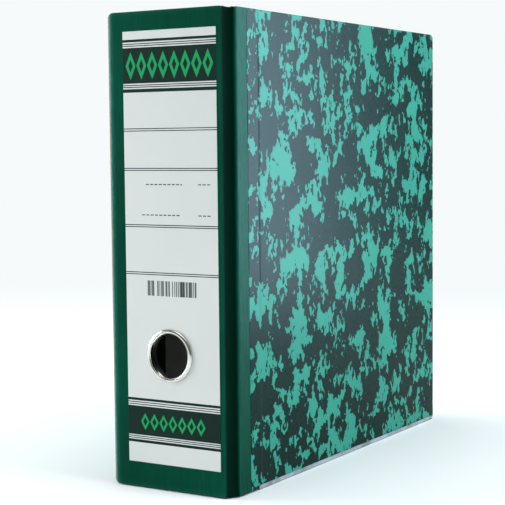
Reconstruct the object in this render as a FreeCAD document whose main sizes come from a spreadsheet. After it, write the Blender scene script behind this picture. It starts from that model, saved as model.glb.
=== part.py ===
import FreeCAD, Part
import Sketcher
import math
import os
import re

# Lever arch file, standing on its lower edge. +Z is up, the spine faces -Y, the front cover is at +X
# and the back cover, which carries the lever mechanism, at -X. The origin is under the middle of the
# whole file, on the surface that it stands on. All sizes are in millimetres.

doc = FreeCAD.newDocument("LeverArchFile")
sheet = doc.addObject("Spreadsheet::Sheet", "Sizes")

SIZES = [
    # case
    ("height", 240, "height of the file"),
    ("spine_width", 68, "spine, ridge to ridge"),
    ("joint_width", 4, "outer face of a cover beyond the spine's ridge"),
    ("joint_depth", 7, "near edge of a cover behind the spine's face"),
    ("cover_length", 230, "cover, near edge to fore-edge"),
    ("board", 2, "greyboard thickness"),
    ("wrap", 0.4, "outer cloth or paper with its glue"),
    ("lining", 0.3, "inner lining"),
    ("cover_corner", 3, "rounded fore-edge corners"),
    ("spine_corner_back", 2.6, "spine corners beside the back cover"),
    ("spine_corner_front", 0.9, "spine corners beside the front cover"),
    ("cloth_edge", 10, "cloth that shows along a cover"),
    ("inner_cloth", 42, "black cloth inside a cover"),
    ("joint_cloth", 0.5, "cloth in the joint"),
    ("joint_lap", 1.5, "joint cloth on the board edges"),
    ("joint_bend", 1.2, "bend of the joint cloth"),
    # edge rails
    ("rail", 0.4, "rail sheet"),
    ("rail_leg", 2, "rail leg"),
    ("rail_start", 17.5, "rail from the cover's near edge"),
    ("rail_stop", 2.8, "rail end from the fore-edge"),
    # label and finger ring
    ("label", 0.12, "label paper"),
    ("label_margin", 9.7, "label from the spine's back ridge"),
    ("label_front", 2.9, "label from the spine's front ridge"),
    ("label_bottom", 13.4, "label from the bottom"),
    ("label_top", 9.8, "label from the top"),
    ("ring_right", 1.8, "ring centre to the right of the spine's middle"),
    ("ring_height", 68.8, "ring centre above the bottom"),
    ("ring_hole", 22, "finger hole diameter"),
    ("ring_flange", 2.5, "ring flange width"),
    ("ring_high", 1.3, "ring flange height"),
    ("ring_round", 1.1, "ring flange edges"),
    ("ring_wall", 0.6, "ring barrel wall"),
    ("ring_lip", 1, "turned lip width inside"),
    ("ring_play", 0.1, "board around the ring barrel"),
    ("washer", 0.8, "washer thickness"),
    ("washer_rim", 2.9, "washer beyond the ring barrel"),
    # mechanism plate
    ("mech_rise", 2, "middle of the mechanism above the middle of the file"),
    ("plate", 1, "base plate sheet"),
    ("plate_start", 12, "plate from the inside of the spine"),
    ("plate_beyond", 8, "plate beyond the posts, away from the spine"),
    ("plate_end", 10, "plate beyond the posts, at each end"),
    ("plate_corner", 5, "plate corners"),
    ("rivet", 4, "rivet shank diameter"),
    ("rivet_head_width", 9, "rivet head diameter"),
    ("rivet_head", 0.8, "rivet head height"),
    ("rivet_inset", 7, "rivet from the plate edges"),
    ("rivet_between", 15, "rivets between the posts, from each post"),
    # posts and arch
    ("pitch", 80, "distance between the two posts"),
    ("post_back", 66, "posts from the inside of the spine"),
    ("post", 4.4, "post diameter"),
    ("post_top", 33, "post top above the cover"),
    ("collar", 8, "post collar diameter"),
    ("collar_height", 1.5, "post collar height"),
    ("wire", 4, "arch wire diameter"),
    ("arch_back", 30, "arch axis from the inside of the spine"),
    ("arch_high", 5.6, "arch axis above the cover"),
    ("hoop_rise", 0.7, "straight wire between the arch end and its curve"),
    ("arch_gap", 0.3, "arch end above the post"),
    ("nose", 1.5, "radius of the nose on the arch end"),
    ("nose_point", 0.1, "radius of the nose at its point"),
    ("nose_play", 0.4, "post recess around the nose"),
    ("crank", 13, "crank throw"),
    ("crank_half", 15, "half of the crank's length"),
    ("wire_bend", 5, "bend radius of the arch wire"),
    ("bearing_out", 27, "arch bearing from the middle"),
    ("bearing_width", 6, "arch bearing width"),
    ("bearing_wall", 1.2, "arch bearing wall"),
    ("fit", 0.05, "running clearance on the radius"),
    # lever
    ("roller_ahead", 2.8, "roller beyond the crank, away from the spine"),
    ("crank_gap", 0.7, "roller above the crank"),
    ("lever_width", 14, "lever channel width"),
    ("lever_sheet", 1.2, "lever sheet"),
    ("lever_length", 38, "lever pin to the end of the channel"),
    ("lever_crown", 5, "top of the channel above the pin"),
    ("lever_heel", 4, "channel behind the pin"),
    ("lever_knee", 8, "straight top in front of the pin"),
    ("lever_fall", 2.2, "fall of the top towards the end"),
    ("lever_tip", 3.3, "channel height at its end"),
    ("heel_below", 2, "channel below the pin at the heel"),
    ("skirt_below", 2, "channel walls below the roller pin"),
    ("skirt_ahead", 5.8, "channel walls in front of the roller pin"),
    ("skirt_back", 1.5, "channel walls in front of the lever pin"),
    ("lever_pin", 3, "lever pin diameter"),
    ("pin_head", 5.5, "pin head diameter"),
    ("pin_head_height", 0.8, "pin head height"),
    ("lug_width", 8, "lever lug width"),
    ("lug_gap", 0.3, "lug beside the lever"),
    ("roller", 7, "roller diameter"),
    ("roller_offset", 4.2, "roller below and in front of the pin"),
    ("roller_pin", 2.4, "roller pin diameter"),
    ("roller_play", 0.3, "roller beside the channel walls"),
    ("grip_length", 7.5, "grip beyond the channel"),
    ("grip_width", 17, "grip width"),
    ("grip_high", 5.5, "grip thickness"),
    ("grip_round", 2, "grip edges"),
    ("tongue", 8, "grip tongue in the channel"),
    ("tongue_high", 1.6, "grip tongue thickness"),
    # compressor
    ("bar_high", 11, "compressor bar above the cover"),
    ("bar_sheet", 1.2, "compressor sheet"),
    ("bar_width", 16, "compressor width"),
    ("bar_end", 18, "compressor beyond the posts, at each end"),
    ("bar_corner", 4, "compressor corners"),
    ("bar_flange", 3, "compressor flange"),
    ("bar_play", 0.3, "post in the compressor's holes"),
    ("catch_length", 12, "catch length"),
    ("catch_width", 9, "catch width"),
    ("catch_high", 2.4, "catch thickness"),
    # arch spring
    ("leaf", 0.5, "leaf spring sheet"),
    ("leaf_width", 9, "leaf spring width"),
    ("leaf_foot", 12, "leaf spring foot"),
    ("leaf_rise", 1.6, "leaf spring rise"),
    ("leaf_reach", 9, "leaf spring arm"),
    ("leaf_beyond", 2, "leaf spring foot beyond the crank"),
]

for row, (alias, number, note) in enumerate(SIZES, start=1):
    sheet.set(f"A{row}", note)
    sheet.set(f"B{row}", str(number))
    sheet.setAlias(f"B{row}", alias)
doc.recompute()

X_AXIS = FreeCAD.Vector(1, 0, 0)
Y_AXIS = FreeCAD.Vector(0, 1, 0)
Z_AXIS = FreeCAD.Vector(0, 0, 1)
TURNS = {
    "x": FreeCAD.Rotation(Y_AXIS, 90),
    "y": FreeCAD.Rotation(X_AXIS, -90),
    "z": FreeCAD.Rotation(),
}
parts = []


# ---- formulas on the sheet's words ----

def formula(text):
    """Turn each word of a formula into a reference to its cell."""
    return re.sub(r"[a-z]+(?:_[a-z]+)*", lambda word: "Sizes." + word.group(0), text)


def size(text):
    """The number that a formula gives now."""
    return float(sheet.evalExpression(formula(text)))


def bind(item, **formulas):
    """Tie properties of an object to formulas."""
    for name, text in formulas.items():
        item.setExpression(name, formula(text))
        setattr(item, name, size(text))


def place(item, at, turn="z"):
    """Put an object at a point given by three formulas."""
    item.Placement = FreeCAD.Placement(FreeCAD.Vector(*[size(text) for text in at]), TURNS[turn])
    for axis, text in zip("xyz", at):
        item.setExpression("Placement.Base." + axis, formula(text))


def keep(item, label):
    """Name a finished piece of the file."""
    item.Label = label
    parts.append(item)
    return item


# ---- primitives ----

def box(size_x, size_y, size_z, at):
    item = doc.addObject("Part::Box", "Block")
    bind(item, Length=size_x, Width=size_y, Height=size_z)
    place(item, at)
    return item


def rod(diameter, length, at, turn="z"):
    item = doc.addObject("Part::Cylinder", "Rod")
    bind(item, Radius=f"({diameter}) / 2", Height=length)
    place(item, at, turn)
    return item


def cone(first, second, length, at, turn="z"):
    item = doc.addObject("Part::Cone", "Cone")
    bind(item, Radius1=first, Radius2=second, Height=length)
    place(item, at, turn)
    return item


def cut(base, tool):
    item = doc.addObject("Part::Cut", "Cut")
    item.Base = base
    item.Tool = tool
    return item


def fuse(*shapes):
    item = doc.addObject("Part::MultiFuse", "Fuse")
    item.Shapes = list(shapes)
    return item


# ---- PartDesign bodies ----

def origin_item(body, role):
    return next(item for item in body.Origin.OriginFeatures if item.Role == role)


def add_sketch(body, plane):
    sketch = body.newObject("Sketcher::SketchObject", "Sketch")
    sketch.AttachmentSupport = (origin_item(body, plane), [""])
    sketch.MapMode = "FlatFace"
    return sketch


def tie(sketch, kind, *where, text):
    """Add a driving distance to a sketch and bind it."""
    index = sketch.addConstraint(Sketcher.Constraint(kind, *where, size(text)))
    name = f"size{index}"
    sketch.renameConstraint(index, name)
    sketch.setExpression("Constraints." + name, formula(text))


def outline(sketch, corners):
    """Closed outline of straight lines through corners, each a pair of formulas."""
    points = [FreeCAD.Vector(size(first), size(second), 0) for first, second in corners]
    count = len(points)
    for index in range(count):
        sketch.addGeometry(Part.LineSegment(points[index], points[(index + 1) % count]))
    for index in range(count):
        sketch.addConstraint(Sketcher.Constraint("Coincident", index, 2, (index + 1) % count, 1))
    for index, (first, second) in enumerate(corners):
        tie(sketch, "DistanceX", -1, 1, index, 1, text=first)
        tie(sketch, "DistanceY", -1, 1, index, 1, text=second)


def pad(body, sketch, length, both_ways=False, back=False):
    item = body.newObject("PartDesign::Pad", "Pad")
    item.Profile = sketch
    item.Midplane = both_ways
    item.Reversed = back
    bind(item, Length=length)
    doc.recompute()
    return item


def pocket(body, sketch, length, both_ways=False, back=False):
    before = body.Shape.Volume
    item = body.newObject("PartDesign::Pocket", "Pocket")
    item.Profile = sketch
    item.Midplane = both_ways
    item.Reversed = back
    bind(item, Length=length)
    doc.recompute()
    if not body.Shape.Volume < before:
        raise ValueError(body.Name + ": the pocket cuts nothing")
    return item


def round_corners(body, radius, chosen):
    """Fillet the straight edges of a body that chosen(edge) picks."""
    base = body.Tip
    edges = [f"Edge{n}" for n, edge in enumerate(base.Shape.Edges, start=1) if chosen(edge)]
    item = body.newObject("PartDesign::Fillet", "Fillet")
    item.Base = (base, edges)
    bind(item, Radius=radius)
    doc.recompute()
    return item


def runs_along(edge, axis):
    if edge.Curve.TypeId != "Part::GeomLine":
        return False
    return abs(edge.tangentAt(edge.FirstParameter).dot(axis)) > 0.99


def near(number, text):
    return abs(number - size(text)) < 0.01


# ---- places that the pieces share ----

# The case: spine face, its layers, and the covers' faces, measured from the middle of the whole file.
MIDDLE = "(rivet_head - rail) / 2"
FACE = "(label + ring_high - joint_depth - cover_length) / 2"
LAYERS = "(wrap + board + lining)"
INSIDE = f"({FACE} + {LAYERS})"
OUT = "(spine_width / 2 + joint_width)"
NEAR_EDGE = f"({FACE} + joint_depth)"
SPINE_BACK = f"({MIDDLE} - spine_width / 2)"
RING_X = f"({MIDDLE} + ring_right)"

# The mechanism: distances from the inside of the back cover (X) and of the spine (Y).
COVER_FACE = f"({MIDDLE} - {OUT} + {LAYERS})"
ARCH_X = f"({COVER_FACE} + arch_high)"
ARCH_Y = f"({INSIDE} + arch_back)"
POST_Y = f"({INSIDE} + post_back)"
ROLLER_X = f"({ARCH_X} + (wire + roller) / 2 + crank_gap)"
ROLLER_Y = f"({ARCH_Y} + crank + roller_ahead)"
LEVER_X = f"({ROLLER_X} + roller_offset)"
LEVER_Y = f"({ROLLER_Y} + roller_offset)"
MECH_Z = "(height / 2 + mech_rise)"
PLATE_WIDTH = "(post_back - plate_start + plate_beyond)"
PLATE_LENGTH = "(pitch + 2 * plate_end)"
BAR_LENGTH = "(pitch + 2 * bar_end)"
PLATE_TOP = f"({COVER_FACE} + plate)"
SPAN = "(post_back - arch_back)"


def plate_body(width, length, thickness, plane="YZ_Plane"):
    """A flat rectangular plate, one corner on the origin: across Y and Z, or across X and Z."""
    body = doc.addObject("PartDesign::Body", "Plate")
    sketch = add_sketch(body, plane)
    outline(sketch, [("0", "0"), (width, "0"), (width, length), ("0", length)])
    pad(body, sketch, thickness, back=(plane == "XZ_Plane"))
    return body


# ---- spine ----

def spine_plate(inset, thickness, start):
    """One layer of the spine: its outline is inset from the case, with the finger hole through it."""
    width = f"spine_width - 2 * {inset}"
    length = f"height - rail - 2 * {inset}"
    body = plate_body(width, length, thickness, "XZ_Plane")
    half = size(width) / 2
    round_corners(body, f"spine_corner_back - {inset}", lambda edge: runs_along(edge, Y_AXIS)
                  and edge.CenterOfMass.x < half)
    round_corners(body, f"spine_corner_front - {inset}", lambda edge: runs_along(edge, Y_AXIS)
                  and edge.CenterOfMass.x > half and edge.Length > size(thickness) / 2)
    place(body, (f"{SPINE_BACK} + {inset}", start, f"rail + {inset}"))
    return body


def finger_hole(start, length):
    return rod("ring_hole + 2 * ring_wall + 2 * ring_play", length, (RING_X, start, "ring_height"), "y")


def make_spine():
    board = spine_plate("wrap", "board", f"{FACE} + wrap")
    keep(cut(board, finger_hole(f"{FACE} + wrap", "board")), "spine_board")
    # the cloth lies on the face and turns round the board's four edges
    cloth = cut(spine_plate("0", "wrap + board", FACE),
                spine_plate("wrap", "board + wrap", f"{FACE} + wrap"))
    keep(cut(cloth, finger_hole(FACE, "wrap")), "spine_cloth")
    lining = spine_plate("0", "lining", f"{INSIDE} - lining")
    keep(cut(lining, finger_hole(f"{INSIDE} - lining", "lining")), "spine_lining")

    paper = box("spine_width - label_margin - label_front", "label", "height - label_bottom - label_top",
                (f"{SPINE_BACK} + label_margin", f"{FACE} - label", "label_bottom"))
    keep(cut(paper, finger_hole(f"{FACE} - label", "label")), "spine_label")

    ring = doc.addObject("PartDesign::Body", "Ring")
    sketch = add_sketch(ring, "XY_Plane")
    hole = "ring_hole / 2"
    barrel = "(ring_hole / 2 + ring_wall)"
    lip = f"({barrel} + ring_lip)"
    washer_face = f"({LAYERS} + washer)"
    end = f"({washer_face} + ring_wall)"
    front = "0 - label"
    outer = "(ring_hole / 2 + ring_flange)"
    crown = "0 - label - ring_high"
    outline(sketch, [(hole, crown), (hole, end), (lip, end), (lip, washer_face), (barrel, washer_face),
                     (barrel, front), (outer, front), (outer, crown)])
    revolve(ring, sketch)
    round_corners(ring, "ring_round", lambda edge: near(edge.BoundBox.YMin, crown)
                  and near(edge.BoundBox.YMax, crown))
    place(ring, (RING_X, FACE, "ring_height"))
    keep(ring, "finger_ring")
    washer = rod("ring_hole + 2 * ring_wall + 2 * washer_rim", "washer", (RING_X, INSIDE, "ring_height"), "y")
    keep(cut(washer, finger_hole(INSIDE, "washer")), "finger_ring_washer")


def revolve(body, sketch):
    """Turn a profile round the sketch's upright axis."""
    item = body.newObject("PartDesign::Revolution", "Revolution")
    item.Profile = sketch
    item.ReferenceAxis = (sketch, ["V_Axis"])
    item.Angle = 360
    doc.recompute()
    return item


def make_joint(label, side):
    """Cloth between the spine's edge and a cover's near edge, bent inwards to a groove."""
    body = doc.addObject("PartDesign::Body", "Joint")
    sketch = add_sketch(body, "XY_Plane")
    first = f"({LAYERS} - joint_lap)"
    deep = "joint_depth"
    last = "(joint_width - wrap)"
    corners = [("0", first), ("joint_cloth", first), ("joint_cloth", f"{deep} - joint_cloth"),
               (last, f"{deep} - joint_cloth"), (last, deep), ("0", deep)]
    if side < 0:
        corners = [(f"0 - ({across})", up) for across, up in corners]
    outline(sketch, corners)
    pad(body, sketch, "height - rail - 2 * wrap")
    reach = size(f"{deep} - 2 * joint_cloth")
    round_corners(body, "joint_bend", lambda edge: runs_along(edge, Z_AXIS)
                  and abs(abs(edge.CenterOfMass.x) - size("joint_cloth")) < 0.01
                  and edge.CenterOfMass.y > reach)
    round_corners(body, "joint_bend + joint_cloth", lambda edge: runs_along(edge, Z_AXIS)
                  and abs(edge.CenterOfMass.x) < 0.01 and edge.CenterOfMass.y > reach)
    place(body, (f"{MIDDLE} + {side} * spine_width / 2", FACE, "rail + wrap"))
    keep(body, label)


# ---- covers ----

def cover_plate(side, near_edge, length, thickness, depth, inset):
    """One layer of a cover: depth is its outer face below the cover's outer face."""
    body = plate_body(length, f"height - rail - 2 * {inset}", thickness)
    edge_at = size(length)
    if size(f"cover_corner - {inset}") > 0:
        round_corners(body, f"cover_corner - {inset}", lambda edge: runs_along(edge, X_AXIS)
                      and abs(edge.CenterOfMass.y - edge_at) < 0.01)
    place(body, (cover_x(side, depth, thickness), near_edge, f"rail + {inset}"))
    return body


def rivet_holes(base):
    """Clear the four rivets of the mechanism."""
    start = f"{MIDDLE} - {OUT} - rivet_head"
    length = f"{LAYERS} + plate + 2 * rivet_head"
    return cut(base, fuse(*[rod("rivet + 2 * ring_play", length, (start, y, z), "x")
                            for y, z in rivet_points()]))


def rivet_points():
    """Two rivets near the plate's corners by the spine, and two between the posts."""
    first = f"({INSIDE} + plate_start + rivet_inset)"
    last = f"({INSIDE} + plate_start + {PLATE_WIDTH} - rivet_inset)"
    corner = f"({PLATE_LENGTH} / 2 - rivet_inset)"
    return [(y, f"{MECH_Z} + {end} * {out}")
            for y, out in ((first, corner), (last, "(pitch / 2 - rivet_between)")) for end in (-1, 1)]


def plain(base):
    return base


def make_cover(name, side):
    """Greyboard, its outer cloth edge and paper, its two inner linings and its edge rail."""
    finish = rivet_holes if side < 0 else plain
    whole = "cover_length"
    board = cover_plate(side, f"{NEAR_EDGE} + wrap", f"{whole} - 2 * wrap", "board", "wrap", "wrap")
    keep(finish(board), name + "_board")

    cloth = box("wrap + board", "cloth_edge", "height - rail",
                (cover_x(side, "0", "(wrap + board)"), NEAR_EDGE, "rail"))
    inner = box("board + wrap", "cloth_edge + wrap", "height - rail - 2 * wrap",
                (cover_x(side, "wrap", "(wrap + board)"), f"{NEAR_EDGE} + wrap", "rail + wrap"))
    keep(finish(cut(cloth, inner)), name + "_cloth_edge")

    paper_start = f"{NEAR_EDGE} + cloth_edge"
    skin = cover_plate(side, paper_start, f"{whole} - cloth_edge", "(wrap + board)", "0", "0")
    filling = cover_plate(side, f"{paper_start} - wrap", f"{whole} - cloth_edge",
                          "(wrap + board)", "wrap", "wrap")
    keep(finish(cut(skin, filling)), name + "_paper")

    strip = box("lining", "inner_cloth", "height - rail",
                (cover_x(side, "(wrap + board)", "lining"), NEAR_EDGE, "rail"))
    keep(finish(strip), name + "_inner_cloth")
    sheet_in = cover_plate(side, f"{NEAR_EDGE} + inner_cloth", f"{whole} - inner_cloth", "lining",
                           "(wrap + board)", "0")
    keep(finish(sheet_in), name + "_lining")

    # thin U channel pressed over the lower edge
    rail_length = "(cover_length - rail_start - rail_stop)"
    outer = box(f"{LAYERS} + 2 * rail", rail_length, "rail + rail_leg",
                (cover_x(side, "(0 - rail)", f"({LAYERS} + 2 * rail)"), f"{NEAR_EDGE} + rail_start", "0"))
    slot = box(LAYERS, rail_length, "2 * rail_leg",
               (cover_x(side, "0", LAYERS), f"{NEAR_EDGE} + rail_start", "rail"))
    keep(cut(outer, slot), name + "_rail")


def cover_x(side, depth, thickness):
    """Lower X of a layer that starts at a depth below the cover's outer face."""
    if side < 0:
        return f"{MIDDLE} - {OUT} + {depth}"
    return f"{MIDDLE} + {OUT} - {depth} - {thickness}"


# ---- mechanism ----

def bent_wire(points, radii, diameter):
    """A round wire through points, bent to a tangent arc at each inner point."""
    pieces = []
    start = points[0]
    for before, corner, after, radius in zip(points, points[1:], points[2:], radii):
        into = (corner - before).normalize()
        away = (after - corner).normalize()
        turn = into.getAngle(away)
        reach = radius * math.tan(turn / 2)
        first = corner - into * reach
        last = corner + away * reach
        if (first - start).Length > 0.001:
            pieces.append(Part.makeCylinder(diameter / 2, (first - start).Length, start, into))
        section = Part.Face(Part.Wire(Part.makeCircle(diameter / 2, first, into)))
        side = into.cross(away).cross(into).normalize()
        pieces.append(section.revolve(first + side * radius, into.cross(away), math.degrees(turn)))
        start = last
    end = points[-1] - start
    pieces.append(Part.makeCylinder(diameter / 2, end.Length, start, end))
    return pieces[0].multiFuse(pieces[1:])


def make_base_plate():
    """Pressed plate with two lugs for the lever pin and two curled bearings for the arch."""
    body = plate_body(PLATE_WIDTH, PLATE_LENGTH, "plate")
    round_corners(body, "plate_corner", lambda edge: runs_along(edge, X_AXIS))
    plate_y = f"{INSIDE} + plate_start"
    place(body, (COVER_FACE, plate_y, f"{MECH_Z} - {PLATE_LENGTH} / 2"))
    raised = [rivet_holes(body)]
    cuts = []
    for end in (-1, 1):
        lug_z = f"{MECH_Z} + {end} * (lever_width / 2 + lug_gap + lever_sheet / 2) - lever_sheet / 2"
        raised.append(box(f"{LEVER_X} - {COVER_FACE} - plate / 2", "lug_width", "lever_sheet",
                          (f"{COVER_FACE} + plate / 2", f"{LEVER_Y} - lug_width / 2", lug_z)))
        raised.append(rod("lug_width", "lever_sheet", (LEVER_X, LEVER_Y, lug_z)))
        bearing_z = f"{MECH_Z} + {end} * bearing_out - bearing_width / 2"
        outer = "wire + 2 * fit + 2 * bearing_wall"
        raised.append(rod(outer, "bearing_width", (ARCH_X, ARCH_Y, bearing_z)))
        raised.append(box("arch_high - plate / 2", outer, "bearing_width",
                          (f"{COVER_FACE} + plate / 2", f"{ARCH_Y} - ({outer}) / 2", bearing_z)))
        cuts.append(rod("wire + 2 * fit", "bearing_width", (ARCH_X, ARCH_Y, bearing_z)))
    cuts.append(rod("lever_pin", "2 * lever_width", (LEVER_X, LEVER_Y, f"{MECH_Z} - lever_width")))
    keep(cut(fuse(*raised), fuse(*cuts)), "base_plate")

    rivets = []
    for y, z in rivet_points():
        rivets.append(rod("rivet", f"{LAYERS} + plate", (f"{MIDDLE} - {OUT}", y, z), "x"))
        rivets.append(cone("rivet_head_width / 2 - rivet_head", "rivet_head_width / 2", "rivet_head",
                           (f"{MIDDLE} - {OUT} - rivet_head", y, z), "x"))
        rivets.append(cone("rivet_head_width / 2", "rivet_head_width / 2 - rivet_head", "rivet_head",
                           (PLATE_TOP, y, z), "x"))
    keep(fuse(*rivets), "plate_rivets")


def make_posts():
    for name, end in (("lower_post", -1), ("upper_post", 1)):
        z = f"{MECH_Z} + {end} * pitch / 2"
        shaft = rod("post", "post_top - plate", (PLATE_TOP, POST_Y, z), "x")
        collar = rod("collar", "collar_height", (PLATE_TOP, POST_Y, z), "x")
        recess = cone("nose_point", "nose + nose_play", "nose + nose_play - nose_point",
                      (f"{COVER_FACE} + post_top - nose - nose_play + nose_point", POST_Y, z), "x")
        keep(cut(fuse(shaft, collar), recess), name)


def make_arch():
    """One bent wire: two hoops, the axis between them and the crank in the middle of the axis."""
    high = size(f"{COVER_FACE} + post_top + arch_gap + hoop_rise + {SPAN} / 2")
    axis_x = size(ARCH_X)
    axis_y = size(ARCH_Y)
    post_y = size(POST_Y)
    end_x = size(f"{COVER_FACE} + post_top + arch_gap")
    middle = size(MECH_Z)
    half_pitch = size("pitch / 2")
    half_crank = size("crank_half")
    crank_y = size(f"{ARCH_Y} + crank")
    lower = [(end_x, post_y, -half_pitch), (high, post_y, -half_pitch), (high, axis_y, -half_pitch),
             (axis_x, axis_y, -half_pitch), (axis_x, axis_y, -half_crank), (axis_x, crank_y, -half_crank)]
    upper = [(x, y, -z) for x, y, z in reversed(lower)]
    points = [FreeCAD.Vector(x, y, middle + z) for x, y, z in lower + upper]
    hoop = size(SPAN) / 2
    bend = size("wire_bend")
    wire = doc.addObject("Part::Feature", "ArchWire")
    radii = [hoop, hoop, bend, bend, bend, bend, bend, bend, hoop, hoop]
    wire.Shape = bent_wire(points, radii, size("wire"))
    noses = [cone("nose_point", "nose", "nose - nose_point",
                  (f"{COVER_FACE} + post_top + arch_gap - nose + nose_point", POST_Y,
                   f"{MECH_Z} + {end} * pitch / 2"), "x") for end in (-1, 1)]
    keep(fuse(wire, *noses), "arch_wire")


def make_lever():
    """Pressed channel that opens towards the plate, with its roller near the pin."""
    body = doc.addObject("PartDesign::Body", "Lever")
    outer = add_sketch(body, "XY_Plane")
    end = "0 - lever_length"
    crown = "lever_crown"
    knee = "0 - lever_knee"
    tip_top = "lever_crown - lever_fall"
    tip_low = "lever_crown - lever_fall - lever_tip"
    skirt = "0 - roller_offset - skirt_below"
    outline(outer, [(crown, "lever_heel"), (crown, knee), (tip_top, end), (tip_low, end),
                    (tip_low, "0 - 2 * lever_knee"), (skirt, "0 - roller_offset - skirt_ahead"),
                    (skirt, "0 - skirt_back"), ("0 - heel_below", "lever_heel")])
    pad(body, outer, "lever_width", both_ways=True)
    inner = add_sketch(body, "XY_Plane")
    past_end = f"{end} - lever_sheet"
    past_heel = "lever_heel + lever_sheet"
    below = f"{skirt} - lever_sheet"
    outline(inner, [(f"{crown} - lever_sheet", past_heel), (f"{crown} - lever_sheet", knee),
                    (f"{tip_top} - lever_sheet", past_end), (below, past_end), (below, past_heel)])
    pocket(body, inner, "lever_width - 2 * lever_sheet", both_ways=True)
    round_corners(body, "lever_sheet", lambda edge: edge.Length > size("lever_length / 2")
                  and near(edge.CenterOfMass.x, f"{crown} - lever_fall / 2")
                  and near(abs(edge.CenterOfMass.z), "lever_width / 2"))
    place(body, (LEVER_X, LEVER_Y, MECH_Z))
    holes = fuse(rod("lever_pin + 2 * fit", "2 * lever_width", (LEVER_X, LEVER_Y, f"{MECH_Z} - lever_width")),
                 rod("roller_pin", "2 * lever_width", (ROLLER_X, ROLLER_Y, f"{MECH_Z} - lever_width")))
    keep(cut(body, holes), "lever_arm")

    long_pin = "(lever_width / 2 + lug_gap + lever_sheet)"
    keep(fuse(rod("lever_pin", f"2 * {long_pin}", (LEVER_X, LEVER_Y, f"{MECH_Z} - {long_pin}")),
              *pin_heads(LEVER_X, LEVER_Y, long_pin, "pin_head")), "lever_pin")
    keep(rod("roller_pin", "lever_width", (ROLLER_X, ROLLER_Y, f"{MECH_Z} - lever_width / 2")),
         "roller_pin")
    wide = "(lever_width - 2 * lever_sheet - 2 * roller_play)"
    roller = rod("roller", wide, (ROLLER_X, ROLLER_Y, f"{MECH_Z} - {wide} / 2"))
    bore = rod("roller_pin + 2 * fit", wide, (ROLLER_X, ROLLER_Y, f"{MECH_Z} - {wide} / 2"))
    keep(cut(roller, bore), "lever_roller")

    grip = doc.addObject("PartDesign::Body", "Grip")
    sketch = add_sketch(grip, "XY_Plane")
    outline(sketch, [("0", "0"), ("grip_high", "0"), ("grip_high", "0 - grip_length"),
                     ("0", "0 - grip_length")])
    pad(grip, sketch, "grip_width", both_ways=True)
    far = size("grip_length")
    round_corners(grip, "grip_round", lambda edge: near(edge.CenterOfMass.y, f"0 - {far}"))
    grip_x = f"({LEVER_X} + lever_crown - lever_fall - lever_tip / 2 - grip_high / 2)"
    place(grip, (grip_x, f"{LEVER_Y} - lever_length", MECH_Z))
    inside = "(lever_width - 2 * lever_sheet - 2 * ring_play)"
    tongue = box("tongue_high", "tongue", inside, (f"{grip_x} + grip_high / 2 - tongue_high",
                 f"{LEVER_Y} - lever_length", f"{MECH_Z} - {inside} / 2"))
    keep(fuse(grip, tongue), "lever_grip")


def pin_heads(x, y, half_length, diameter):
    return [rod(diameter, "pin_head_height", (x, y, f"{MECH_Z} + {half_length}")),
            rod(diameter, "pin_head_height", (x, y, f"{MECH_Z} - {half_length} - pin_head_height"))]


def make_compressor():
    """Sheet bar with two turned edges that slides on the posts, and a catch at each post."""
    body = plate_body("bar_width", BAR_LENGTH, "bar_sheet")
    round_corners(body, "bar_corner", lambda edge: runs_along(edge, X_AXIS))
    bar_x = f"({COVER_FACE} + bar_high)"
    bar_y = f"({POST_Y} - bar_width / 2)"
    place(body, (bar_x, bar_y, f"{MECH_Z} - {BAR_LENGTH} / 2"))
    flange_length = f"({BAR_LENGTH} - 2 * bar_corner)"
    flanges = [box("bar_flange", "bar_sheet", flange_length, (bar_x, y, f"{MECH_Z} - {flange_length} / 2"))
               for y in (bar_y, f"{bar_y} + bar_width - bar_sheet")]
    holes = fuse(*[rod("post + 2 * bar_play", "4 * bar_sheet", (f"{bar_x} - bar_sheet", POST_Y,
                       f"{MECH_Z} + {end} * pitch / 2"), "x") for end in (-1, 1)])
    keep(cut(fuse(body, *flanges), holes), "compressor_bar")

    catches = []
    for end in (-1, 1):
        z = f"{MECH_Z} + {end} * pitch / 2"
        catch_at = (f"{bar_x} + bar_sheet", f"{POST_Y} - catch_width / 2", f"{z} - catch_length / 2")
        catches.append(box("catch_high", "catch_width", "catch_length", catch_at))
    catch_holes = fuse(*[rod("post + 2 * bar_play", "4 * catch_high", (bar_x, POST_Y,
                             f"{MECH_Z} + {end} * pitch / 2"), "x") for end in (-1, 1)])
    keep(cut(fuse(*catches), catch_holes), "compressor_catches")


def make_spring():
    """Leaf spring under the crank: a flat foot on the plate and an arm that rises to the wire."""
    body = doc.addObject("PartDesign::Body", "Spring")
    sketch = add_sketch(body, "XY_Plane")
    tip = "0 - leaf_reach"
    outline(sketch, [("0", "0"), ("0", "leaf_foot"), ("leaf", "leaf_foot"), ("leaf", "0"),
                     ("leaf + leaf_rise", tip), ("leaf_rise", tip)])
    pad(body, sketch, "leaf_width", both_ways=True)
    place(body, (PLATE_TOP, f"{ARCH_Y} + crank + leaf_beyond", MECH_Z))
    keep(body, "arch_spring")


make_spine()
make_joint("front_joint_cloth", 1)
make_joint("back_joint_cloth", -1)
make_cover("front", 1)
make_cover("back", -1)
make_base_plate()
make_posts()
make_arch()
make_lever()
make_compressor()
make_spring()
doc.recompute()

# ---- checks and output ----

failed = [item.Label for item in doc.Objects if "Invalid" in item.State or "Error" in item.State]
if failed:
    raise RuntimeError("failed objects: " + ", ".join(failed))
for item in parts:
    if item.Shape.isNull() or not item.Shape.isValid() or not item.Shape.Solids:
        raise RuntimeError(item.Label + " has no valid solid")

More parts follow.
